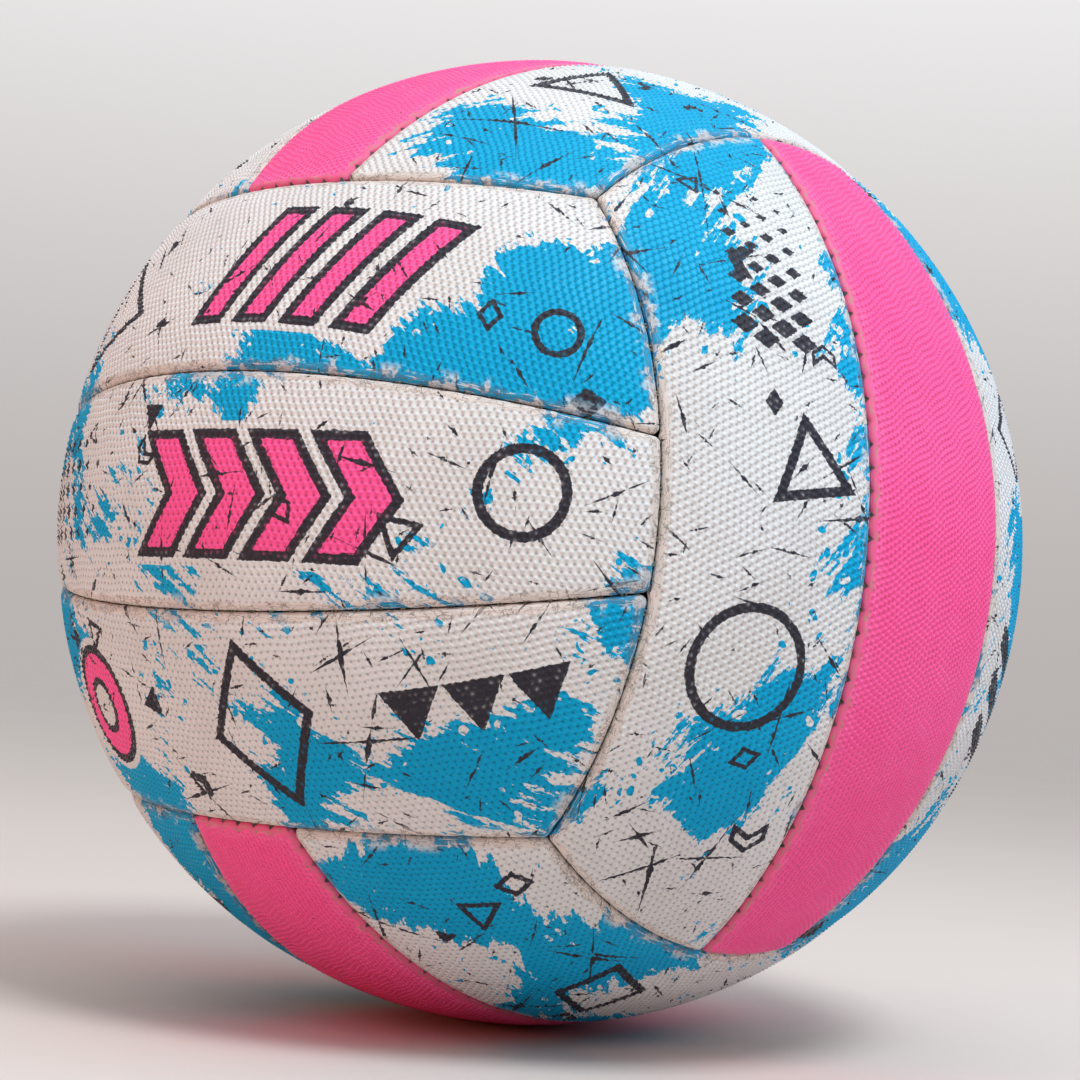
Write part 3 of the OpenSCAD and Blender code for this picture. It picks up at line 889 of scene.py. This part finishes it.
def rubber_surface(tree, shader, pitch):
    """The bump and sheen that both kinds of strip share, and what their colours need at each place. The
    bump is fine grain, sharp pimple tops, a pit beside each, and creases along the folds; the colours darken
    the pits with painted shade. The sheen is uneven, and brighter on the tops."""
    names = ("print_place", "lattice_place", "edge", "along", "pimple")
    stored = [add(tree, "Attribute", attribute_name=name) for name in names]
    place, lattice_place = (attribute.outputs["Vector"] for attribute in stored[:2])
    edge, along, pimple = (attribute.outputs["Fac"] for attribute in stored[2:])
    top = dots(tree, lattice_place, edge, pitch, 0, 0, 0.4)
    pit = dots(tree, lattice_place, edge, pitch, math.pi, math.pi / 3, 0.9)
    grain = add(tree, "noise", place, per(0.45 * MM), 4, 0.6)
    crease_spacing, crease_length = 0.5 * MM, 5 * MM
    by_edge = add(
        tree, "CombineXYZ", add(tree, "times", edge, per(crease_spacing)),
        add(tree, "times", along, per(crease_length)))
    crease = add(tree, "noise", by_edge, 1.0, 3, 0.65)
    straggle = add(tree, "noise", place, per(5 * MM), 3, 0.6)
    straggle_reach = 1.3 * MM
    frayed_edge = add(
        tree, "times_plus", straggle, 2 * straggle_reach, add(tree, "minus", edge, straggle_reach))
    near_fold = add(tree, "ramp", frayed_edge, 1.5 * MM, 2.3 * MM, 1.0, 0.0)
    grain_height, crease_height, pit_depth, top_height = 0.02 * MM, 0.10 * MM, 0.08 * MM, 0.14 * MM
    height = add(tree, "times", grain, grain_height)
    height = add(tree, "times_plus", add(tree, "times", crease, near_fold), crease_height, height)
    height = add(tree, "times_plus", pit, -pit_depth, height)
    height = add(tree, "times_plus", top, top_height, height)
    smears = add(tree, "noise", place, per(9 * MM), 3, 0.6)
    top_sheen, smooth, rough = 0.16, 0.42, 0.54
    roughness = add(tree, "times_plus", top, -top_sheen, add(tree, "ramp", smears, 0.3, 0.7, smooth, rough))
    bump = add(tree, "Bump", Height=height, Strength=1.0, Distance=1.0)
    feed(tree, shader, Normal=bump, Roughness=roughness)
    return Surface(place, edge, along, pimple, crease, near_fold, pit)


def pits_shaded(tree, surface, pit, strength):
    """The colour with its pits darkened: painted shade that stands in for the shadow below each pimple."""
    return add(tree, "darken", add(tree, "times", pit, strength), surface, "#8C8785")


def stitch_phase(tree, along, pitch):
    """One at each stitch, and nought halfway between two."""
    wave = add(tree, "cosine", add(tree, "times", along, 2 * math.pi * per(pitch)))
    return add(tree, "times_plus", wave, 0.5, 0.5)


def printed_rubber(ink, pimple_pitch):
    """Off-white natural and butyl rubber, compression-moulded with pimples and screen-printed: matt, with
    small dull highlights on the pimples, the dark ink worn off their tops, and the print rubbed and cracked
    at the folds. The pits beside the pimples are darkened with painted shade, and the fold is painted dark
    with shade where it turns down into the seam."""
    material, tree, shader = new_material("printed_rubber", **STRIP_RUBBER)
    place, edge, _, pimple, crease, near_fold, pit = rubber_surface(tree, shader, pimple_pitch)
    ragged_size, ragged_reach, soft = 1.1 * MM, 0.45 * MM, 0.12 * MM
    rough_edge = add(tree, "noise", place, per(ragged_size), 4, 0.7)
    ragged = add(tree, "times_plus", rough_edge, 2 * ragged_reach, -ragged_reach)
    in_ink = {}
    for name in ("bare", "pink", "dark"):
        outside = add(tree, "Attribute", attribute_name=f"ink_{name}").outputs["Fac"]
        in_ink[name] = add(tree, "ramp", add(tree, "plus", outside, ragged), -soft / 2, soft / 2, 1.0, 0.0)

    smudge = add(tree, "noise", place, per(24 * MM), 4, 0.6)
    base = add(tree, "blend", add(tree, "ramp", smudge, 0.35, 0.75, 0.0, 0.5), ink.white, "#D6D2CF")
    base = add(tree, "blend", add(tree, "times", near_fold, 0.6), base, "#DCCBC0")

    patches = add(tree, "noise", place, per(6 * MM), 4, 0.65)
    worn_zone = add(tree, "ramp", edge, 1.8 * MM, 4.2 * MM, 1.0, 0.0)
    rubbed = add(tree, "times", worn_zone, add(tree, "ramp", patches, 0.52, 0.60, 0.0, 0.75))
    flaked = add(tree, "times", near_fold, add(tree, "ramp", crease, 0.57, 0.63, 0.0, 0.8))
    chips = add(tree, "larger", rubbed, flaked)
    cyan = add(tree, "times", cyan_mask(tree, place, ink), add(tree, "minus", 1.0, in_ink["bare"]))
    cyan = add(tree, "times", cyan, add(tree, "minus", 1.0, chips))
    tone = add(tree, "noise", place, per(18 * MM), 3, 0.6)
    cyan_tone = add(tree, "blend", tone, ink.cyan, "#00A2CF")
    dulled = add(tree, "times", near_fold, add(tree, "ramp", patches, 0.40, 0.54, 0.15, 0.8))
    cyan_tone = add(tree, "blend", dulled, cyan_tone, "#3D86AC")
    surface = add(tree, "blend", cyan, base, cyan_tone)
    surface = add(tree, "blend", in_ink["pink"], surface, ink.pink)

    strokes = [scattered_strokes(tree, place, *sizes) for sizes in STROKES]
    dark = strokes[0]
    for mask in (*strokes[1:], in_ink["dark"]):
        dark = add(tree, "larger", dark, mask)
    bald = add(tree, "noise", place, per(2.6 * MM), 2, 0.5)
    worn_top = add(tree, "times", pimple, add(tree, "ramp", bald, 0.46, 0.62, 0.0, 0.42))
    dark = add(tree, "times", dark, add(tree, "minus", 1.0, worn_top))
    dark = add(tree, "times", dark, add(tree, "ramp", chips, 0.0, 0.8, 1.0, 0.5))
    # Painted shade darkens the pits beside the pimples, under the dark ink
    surface = add(tree, "blend", dark, pits_shaded(tree, surface, pit, 0.5), ink.dark)

    crack = line_at(tree, crease, 0.47, 0.006, 0.03, 0.65)
    craze = line_at(tree, add(tree, "noise", place, per(4.5 * MM), 4, 0.6), 0.5, 0.006, 0.022, 0.65)
    grime = add(tree, "times", near_fold, add(tree, "larger", crack, craze))
    surface = add(tree, "blend", grime, surface, "#6F6763")
    # Painted shade: the fold is painted dark where it turns down into the seam, and the rim below it too
    seam_shade = add(tree, "ramp", edge, -1.3 * MM, -0.2 * MM, 0.85, 0.0)
    feed(tree, shader, Base_Color=add(tree, "blend", seam_shade, surface, "#3A3534"))
    return material


def plain_rubber(ink, pimple_pitch, stitch_pitch):
    """Pink natural and butyl rubber, compression-moulded with fine pimples and not printed: an even matt
    colour, paler on the pimples' tops as a painted highlight, duller and dirty in the fold, with a scallop
    of wear from stitch to stitch. The pits beside the pimples are darkened with painted shade, each stitch
    has a dark notch of painted shade, and the fold is painted dark with shade where it turns down into the
    seam."""
    material, tree, shader = new_material("plain_rubber", **STRIP_RUBBER)
    place, edge, along, pimple, crease, _, pit = rubber_surface(tree, shader, pimple_pitch)
    tone = add(tree, "noise", place, per(30 * MM), 3, 0.6)
    surface = add(tree, "blend", add(tree, "ramp", tone, 0.3, 0.75, 0.0, 0.6), ink.pink, "#FE5C9B")
    # The pimples' tops are painted paler: a painted highlight
    surface = add(tree, "blend", add(tree, "times", pimple, 0.3), surface, "#FF82B8")
    # Painted shade darkens the pits beside the pimples
    surface = pits_shaded(tree, surface, pit, 0.3)
    beside_fold = add(tree, "ramp", edge, 2.6 * MM, 5.5 * MM, 1.0, 0.0)
    pale = add(tree, "times", beside_fold, add(tree, "ramp", crease, 0.35, 0.7, 0.0, 0.5))
    surface = add(tree, "blend", pale, surface, "#FF86B4")

    phase = stitch_phase(tree, along, stitch_pitch)
    scallop_depth, fold_at = 0.7 * MM, 1.5 * MM
    scalloped = add(tree, "times_plus", phase, -scallop_depth, edge)
    wavy = add(tree, "times_plus", crease, 1.0 * MM, scalloped)
    folded = add(tree, "ramp", wavy, fold_at, fold_at + 0.5 * MM, 0.7, 0.0)
    surface = add(tree, "blend", folded, surface, "#E2708F")
    rim_band = line_at(tree, wavy, fold_at, 0.2 * MM, 0.9 * MM)
    broken = add(tree, "noise", place, per(2.2 * MM), 4, 0.7)
    gaps = add(tree, "ramp", broken, 0.42, 0.57, 0.0, 0.85)
    streaks = add(tree, "times", add(tree, "ramp", crease, 0.46, 0.58), gaps)
    surface = add(tree, "blend", add(tree, "times", rim_band, streaks), surface, "#B09A82")

    # A dark grey-green notch at each stitch: painted shade of the opening where the thread goes in
    needed_phase = add(tree, "ramp", edge, -1.0 * MM, 1.1 * MM, 0.72, 1.0)
    frayed_phase = add(tree, "times_plus", broken, 0.16, add(tree, "minus", phase, 0.09))
    notch_shade = add(tree, "ramp", add(tree, "minus", frayed_phase, needed_phase), 0.0, 0.04)
    faintness = add(tree, "ramp", add(tree, "noise", place, per(9 * MM), 2, 0.5), 0.36, 0.58, 0.35, 1.0)
    surface = add(tree, "blend", add(tree, "times", notch_shade, faintness), surface, "#5C6058")
    # Painted shade: the fold is painted dark where it turns down into the seam, and the rim below it too
    seam_shade = add(tree, "ramp", edge, -1.3 * MM, -0.1 * MM, 0.9, 0.0)
    feed(tree, shader, Base_Color=add(tree, "blend", seam_shade, surface, "#4A3A3E"))
    return material


def waxed_thread():
    """Polyester thread, twisted, waxed and dirtied: grey, with slanting plies and a soft shine."""
    material, tree, shader = new_material("waxed_thread", IOR=1.45, Metallic=0.0, Roughness=0.5)
    twist = add(tree, "Attribute", attribute_name="twist").outputs["Fac"]
    plies = add(tree, "times_plus", add(tree, "sine", twist), 0.5, 0.5)
    bump = add(tree, "Bump", Height=add(tree, "times", plies, 0.1 * MM), Distance=1.0)
    feed(tree, shader, Base_Color=add(tree, "blend", plies, "#4E4C45", "#8D887A"), Normal=bump)
    return material


def bonded_cloth():
    """Cotton and polyester plies, woven and bonded with latex: cream, with a plain weave."""
    material, tree, shader = new_material("bonded_cloth", IOR=1.46, Metallic=0.0, Roughness=0.85)
    place = add(tree, "TexCoord").outputs["Object"]
    # The real threads are about 0.5 mm apart, too fine to show, so they are drawn nearly twice as coarse
    thread_spacing = 0.9 * MM
    waves = []
    for part in add(tree, "SeparateXYZ", place).outputs:
        waves.append(add(tree, "sine", add(tree, "times", part, 2 * math.pi * per(thread_spacing))))
    weave = add(tree, "times", add(tree, "times", waves[0], waves[1]), waves[2])
    surface = add(tree, "blend", add(tree, "ramp", weave, -0.6, 0.6), "#D9D0BC", "#F0EADB")
    bump = add(tree, "Bump", Height=add(tree, "times", weave, 0.08 * MM), Distance=1.0)
    feed(tree, shader, Base_Color=surface, Normal=bump)
    return material


def black_rubber(name, dark, light, roughness, grain):
    """Filled rubber, moulded: near black, with a fine grain from the mould and a dull bloom."""
    material, tree, shader = new_material(name, IOR=1.52, Metallic=0.0)
    place = add(tree, "TexCoord").outputs["Object"]
    bloom = add(tree, "TexNoise", place, per(6 * MM), 4.0)
    skin = add(tree, "TexNoise", place, per(grain), 3.0)
    surface = add(tree, "blend", add(tree, "ramp", bloom, 0.35, 0.7), dark, light)
    shine = add(tree, "ramp", bloom, 0.3, 0.7, roughness - 0.06, roughness + 0.08)
    bump = add(tree, "Bump", Height=add(tree, "times", skin, 0.03 * MM), Distance=1.0)
    feed(tree, shader, Base_Color=surface, Roughness=shine, Normal=bump)
    return material


def painted_floor(stage):
    """Matt emulsion on board, rolled: pale, without gloss."""
    material, tree, shader = new_material("painted_floor", IOR=1.5, Metallic=0.0, Roughness=0.9)
    place = add(tree, "TexCoord").outputs["Object"]
    mottle = add(tree, "TexNoise", place, per(300 * MM), 3.0)
    feed(tree, shader, Base_Color=add(tree, "blend", mottle, stage.floor_colour, "#DCCDC4"))
    return material


# Operators


def face_turn(turn):
    return turned(*(math.radians(a) for a in turn))


class NETBALL_OT_strips(bpy.types.Operator):
    """Makes the eighteen rubber strips, with pimples, folded rims and print"""
    bl_idname = "netball.strips"
    bl_label = "Rubber strips"

    def execute(self, context):
        netball = context.scene.netball
        skins = {}
        materials = {
            "plain_rubber": plain_rubber(netball.ink, netball.pimples.plain_pitch, netball.stitches.pitch),
            "printed_rubber": printed_rubber(netball.ink, netball.pimples.printed_pitch)}
        seed = 0
        for face, turn, names, _ in FACES:
            for strip, name in enumerate(names):
                seed += 1
                middle = strip == MIDDLE
                plain = middle and face not in PRINTED_MIDDLES
                kind = (middle, plain, middle and face == "back")
                if kind not in skins:
                    skins[kind] = Skin(netball, *kind)
                flipped = strip > MIDDLE
                mesh = self.strip(netball, f"{face}_{name}", skins[kind], face_turn(turn), flipped, seed)
                slot = "plain_rubber" if plain else "printed_rubber"
                put(f"{face}_{name}_skin", mesh, materials[slot], "ball", slot, f"{face}_{name}_panel")
        return {"FINISHED"}

    def strip(self, netball, name, skin, turn, flipped, seed):
        """The mesh of one strip, with its print, which is rolled to another place of the noise on each."""
        roll_along, roll_across, rolls_across = 0.37, 0.113, 5
        points, sheet, edge, pimple, triangles, on_back = skin.arrays()
        place = turn @ (HALF_TURN_ABOUT_X if flipped else np.eye(3))
        mesh = mesh_from(f"{name}_skin", points @ place.T, triangles)
        flat = -sheet if flipped else sheet
        roll = np.array([roll_along * seed, roll_across * (seed % rolls_across)])
        level = np.zeros(len(flat))
        give(mesh, "print_place", np.column_stack([flat + roll, level]))
        give(mesh, "lattice_place", np.column_stack([unrippled(sheet, skin.wander), level]))
        give(mesh, "edge", edge)
        give(mesh, "along", skin.along(points))
        give(mesh, "pimple", pimple)
        if name in MOTIFS:
            large = MOTIFS[name]
            motifs = large + [mark for mark in small_marks(seed) if not on_its_like(mark, large)]
            for ink, far in inks(flat, motifs, netball.ink.line_width).items():
                give(mesh, f"ink_{ink}", far)
        self.unwrap(mesh, sheet, triangles, on_back)
        return mesh

    def unwrap(self, mesh, sheet, triangles, on_back):
        """The outside and the rim fill most of the map, and the back a narrow band above them."""
        margin, width, front_share, band_start, band_share = 0.005, 0.99, 0.86, 0.88, 0.11
        low, high = sheet.min(0), sheet.max(0)
        flat = (sheet - low) / (high - low)
        at = flat[triangles].reshape(-1, 2)
        back = np.repeat(on_back, 3)[:, None]
        front_place = at * [width, front_share] + margin
        back_place = at * [width, band_share] + [margin, band_start]
        layer = mesh.uv_layers.new(name="OFBake", do_init=False)
        layer.uv.foreach_set("vector", np.where(back, back_place, front_place).astype(np.float32).ravel())


def smooth_line(knots):
    """The knots of a line, and the middle of the smooth curve from each to the next."""
    before, after = np.vstack([knots[:1], knots[:-1]]), np.vstack([knots[1:], knots[-1:]])
    next_after = np.vstack([after[1:], after[-1:]])
    middles = (9 * (knots + after) - before - next_after) / 16
    return np.stack([knots, middles], 1).reshape(-1, 3)[:-1]


def thread_path(stitches, seam, half_turn, strand):
    """The middle line of one thread: behind one rim, through a needle hole, behind the other, and so on."""
    pitch = stitches.pitch
    radius = math.sin(seam.angle) * BALL_RADIUS
    last = math.floor((half_turn * radius - stitches.end_margin) / pitch)
    offset = 2.1 * MM
    part_offset = 0.62 * offset
    bend = 0.8 * MM
    apart = 0.32 * MM * strand
    run, cross = stitches.run_depth, stitches.cross_depth
    half_way = (run + cross) / 2
    knots = []
    for k in range(-last, last + 1):
        side = strand * (1 if k % 2 else -1)
        at = k * pitch + apart
        knots += [(at - bend, side * offset, run), (at - bend / 4, side * part_offset, half_way),
                  (at, 0.0, cross), (at + bend / 4, -side * part_offset, half_way),
                  (at + bend, -side * offset, run)]
    path = smooth_line(np.array(knots))
    turns = path[:, 0] / radius
    unit = on_seam(seam, turns, seam.side * path[:, 1] / BALL_RADIUS)
    return unit * (BALL_RADIUS - path[:, 2])[:, None]


def tube(points, radius, sides=6):
    """A closed tube round a path near the ball's surface, and the twist of its plies at each point."""
    along = np.gradient(points, axis=0)
    along /= np.linalg.norm(along, axis=1)[:, None]
    out = points / np.linalg.norm(points, axis=1)[:, None]
    across = np.cross(along, out)
    across /= np.linalg.norm(across, axis=1)[:, None]
    out = np.cross(across, along)
    turns = np.arange(sides) * 2 * math.pi / sides
    rings = points[:, None] + radius * (
        across[:, None] * np.cos(turns)[None, :, None] + out[:, None] * np.sin(turns)[None, :, None])
    count = len(points)
    vertices = np.concatenate([rings.reshape(-1, 3), points[:1], points[-1:]])
    ring = np.arange(sides)
    after = (ring + 1) % sides
    start = (np.arange(count - 1) * sides)[:, None]
    a, b = start + ring, start + after
    last = (count - 1) * sides
    triangles = np.concatenate([
        np.stack([b, a, a + sides], 2).reshape(-1, 3),
        np.stack([b + sides, b, a + sides], 2).reshape(-1, 3),
        np.stack([ring, after, 0 * ring + count * sides], 1),
        np.stack([after + last, ring + last, 0 * ring + count * sides + 1], 1)])
    steps = np.linalg.norm(np.diff(points, axis=0), axis=1)
    run = np.concatenate([[0], np.cumsum(steps)])
    lay, plies = 2.4 * MM, 2
    twist = (run[:, None] * 2 * math.pi / lay + turns[None] * plies).ravel()
    return vertices, triangles, np.concatenate([twist, [0, 0]])


class NETBALL_OT_threads(bpy.types.Operator):
    """Makes the saddle stitching of every seam, two threads to a seam"""
    bl_idname = "netball.threads"
    bl_label = "Stitching"

    def execute(self, context):
        netball = context.scene.netball
        layout = Layout(netball.strips)
        material = waxed_thread()
        for face, turn, _, ends in FACES:
            place = face_turn(turn)
            for end, beyond in enumerate(ends):
                seams = [(layout.end_seam(end), layout.corner_turn)]
                mesh = self.stitching(netball, f"{face}_{beyond}", seams, place)
                put(mesh.name, mesh, material, "ball", "thread", f"{face}_{beyond}_thread")
            seams = [(layout.strip_seam(end, 1), layout.strip_turn) for end in (0, 1)]
            mesh = self.stitching(netball, f"{face}_strip", seams, place)
            put(mesh.name, mesh, material, "ball", "thread", f"{face}_strip_threads")
        return {"FINISHED"}

    def stitching(self, netball, name, seams, place):
        """The mesh of two threads to each seam."""
        vertices, triangles, twists = [], [], []
        count = 0
        for seam, half_turn in seams:
            for strand in (-1, 1):
                path = thread_path(netball.stitches, seam, half_turn, strand)
                points, faces, twist = tube(path @ place.T, netball.stitches.thread_diameter / 2)
                vertices.append(points)
                triangles.append(faces + count)
                twists.append(twist)
                count += len(points)
        mesh = mesh_from(f"{name}_stitching", np.concatenate(vertices), np.concatenate(triangles))
        give(mesh, "twist", np.concatenate(twists))
        return mesh


class NETBALL_OT_inner_parts(bpy.types.Operator):
    """Gives the backings, the bladder and the valve their materials"""
    bl_idname = "netball.inner_parts"
    bl_label = "Backings, bladder and valve"

    def execute(self, context):
        cloth = bonded_cloth()
        finishes = {
            "bladder": black_rubber("butyl_bladder", "#1B1B1E", "#2B2B30", 0.6, 1.2 * MM),
            "valve_patch": black_rubber("patch_rubber", "#232326", "#34343A", 0.65, 0.9 * MM),
            "valve_boot": black_rubber("valve_rubber", "#131315", "#222226", 0.45, 0.5 * MM),
            "valve_core": black_rubber("core_rubber", "#3A3A40", "#55555C", 0.4, 0.4 * MM),
        }
        for name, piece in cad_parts.items():
            material = cloth if name.endswith("_backing") else finishes.get(name)
            if material:
                piece.data.materials.clear()
                piece.data.materials.append(material)
        return {"FINISHED"}


def soft_light(name, towards, distance, size, brightness, tint):
    """A square lamp that faces the ball. Its brightness is what a white surface facing it gives back."""
    lamp = bpy.data.lights.new(name, "AREA")
    lamp.size = size
    lamp.energy = brightness * (math.pi * distance) ** 2
    lamp.color = from_hex(tint)
    piece = bpy.data.objects.new(name, lamp)
    bpy.context.scene.collection.objects.link(piece)
    piece.location = Vector(towards).normalized() * distance
    piece.rotation_euler = piece.location.to_track_quat("Z", "Y").to_euler()


def room(name):
    """A plain room that is brightest overhead. The camera sees it pale, and low down like the far floor."""
    world = bpy.data.worlds.new(name)
    world.use_nodes = True
    tree = world.node_tree
    rise = add(tree, "SeparateXYZ", add(tree, "TexCoord").outputs["Generated"]).outputs[2]
    light = add(tree, "blend", add(tree, "ramp", rise, -0.1, 1.0), "#665A53", "#E1ECF3")
    seen = add(tree, "blend", add(tree, "ramp", rise, 0.0, 0.5), "#B0ABA9", "#F0F0F1")
    is_seen = add(tree, "LightPath").outputs["Is Camera Ray"]
    feed(tree, tree.nodes["Background"], Color=add(tree, "blend", is_seen, light, seen))
    return world


# Each lamp's name, the direction to it from the ball, its distance, size, brightness and colour. The photo's
# light is high at the right and white, cool on the ball's right side, and warm and low on its left.
LAMPS = (
    ("key_lamp", (0.58, -0.24, 0.90), 1.4, 0.4, 0.54, "#EFF9FF"),
    ("right_lamp", (0.70, 0.57, 0.32), 1.4, 0.6, 0.13, "#98C8FF"),
    ("left_lamp", (-0.45, -0.85, 0.09), 2.2, 0.5, 0.17, "#FF9C6C"),
)
# The camera's right, up and back directions, which give the photograph's view
CAMERA_AXES = ((0.753, 0.653, 0.076), (-0.014, -0.100, 0.995), (0.657, -0.751, -0.066))
AIM_RISE = 0.6 * MM
SENSOR_WIDTH = 36
NEAR_CLIP = 0.01
HALF_FLOOR = 30.0


class NETBALL_OT_stage(bpy.types.Operator):
    """Makes the floor, the lamps and the camera at the photograph's view"""
    bl_idname = "netball.stage"
    bl_label = "Floor, light and camera"

    def execute(self, context):
        scene = context.scene
        stage = scene.netball.stage
        ground = CAD_BOX[0].z
        corners = [(x * HALF_FLOOR, y * HALF_FLOOR, ground) for x, y in ((-1, -1), (1, -1), (1, 1), (-1, 1))]
        mesh = mesh_from("floor", np.array(corners), np.array([(0, 1, 2), (0, 2, 3)]))
        mesh.materials.append(painted_floor(stage))
        floor = bpy.data.objects.new("floor", mesh)
        scene.collection.objects.link(floor)
        scene.world = room("pale_room")
        scene.view_settings.view_transform = "Standard"
        scene.view_settings.look = "Medium High Contrast"
        for lamp in LAMPS:
            soft_light(*lamp)
        camera = bpy.data.cameras.new("camera")
        camera.lens = stage.lens
        camera.sensor_width = SENSOR_WIDTH
        camera.clip_start = NEAR_CLIP
        piece = bpy.data.objects.new("camera", camera)
        scene.collection.objects.link(piece)
        turn = Matrix(CAMERA_AXES).transposed().to_quaternion().normalized()
        piece.rotation_mode = "QUATERNION"
        piece.rotation_quaternion = turn
        piece.location = turn @ Vector((0, 0, stage.camera_distance)) + Vector((0, 0, AIM_RISE))
        scene.camera = piece
        return {"FINISHED"}


class Netball(bpy.types.PropertyGroup):
    strips: PointerProperty(type=StripSettings)
    pimples: PointerProperty(type=PimpleSettings)
    stitches: PointerProperty(type=StitchSettings)
    ink: PointerProperty(type=InkSettings)
    stage: PointerProperty(type=StageSettings)


OPERATORS = (NETBALL_OT_strips, NETBALL_OT_threads, NETBALL_OT_inner_parts, NETBALL_OT_stage)


class NETBALL_PT_panel(bpy.types.Panel):
    """Lists the netball's pieces and sizes"""
    bl_label = "Netball"
    bl_idname = "NETBALL_PT_panel"
    bl_space_type = "VIEW_3D"
    bl_region_type = "UI"
    bl_category = "Netball"

    def draw(self, context):
        for operator in OPERATORS:
            self.layout.operator(operator.bl_idname)
        netball = context.scene.netball
        for group in (netball.strips, netball.pimples, netball.stitches, netball.ink, netball.stage):
            box = self.layout.box()
            for name in type(group).__annotations__:
                box.prop(group, name)


CLASSES = (StripSettings, PimpleSettings, StitchSettings, InkSettings, StageSettings, Netball, *OPERATORS,
           NETBALL_PT_panel)


def register():
    for made in CLASSES:
        bpy.utils.register_class(made)
    bpy.types.Scene.netball = PointerProperty(type=Netball)


def unregister():
    del bpy.types.Scene.netball
    for made in reversed(CLASSES):
        bpy.utils.unregister_class(made)


def main():
    register()
    for operator in OPERATORS:
        group, name = operator.bl_idname.split(".")
        getattr(getattr(bpy.ops, group), name)()


if __name__ == "__main__":
    main()
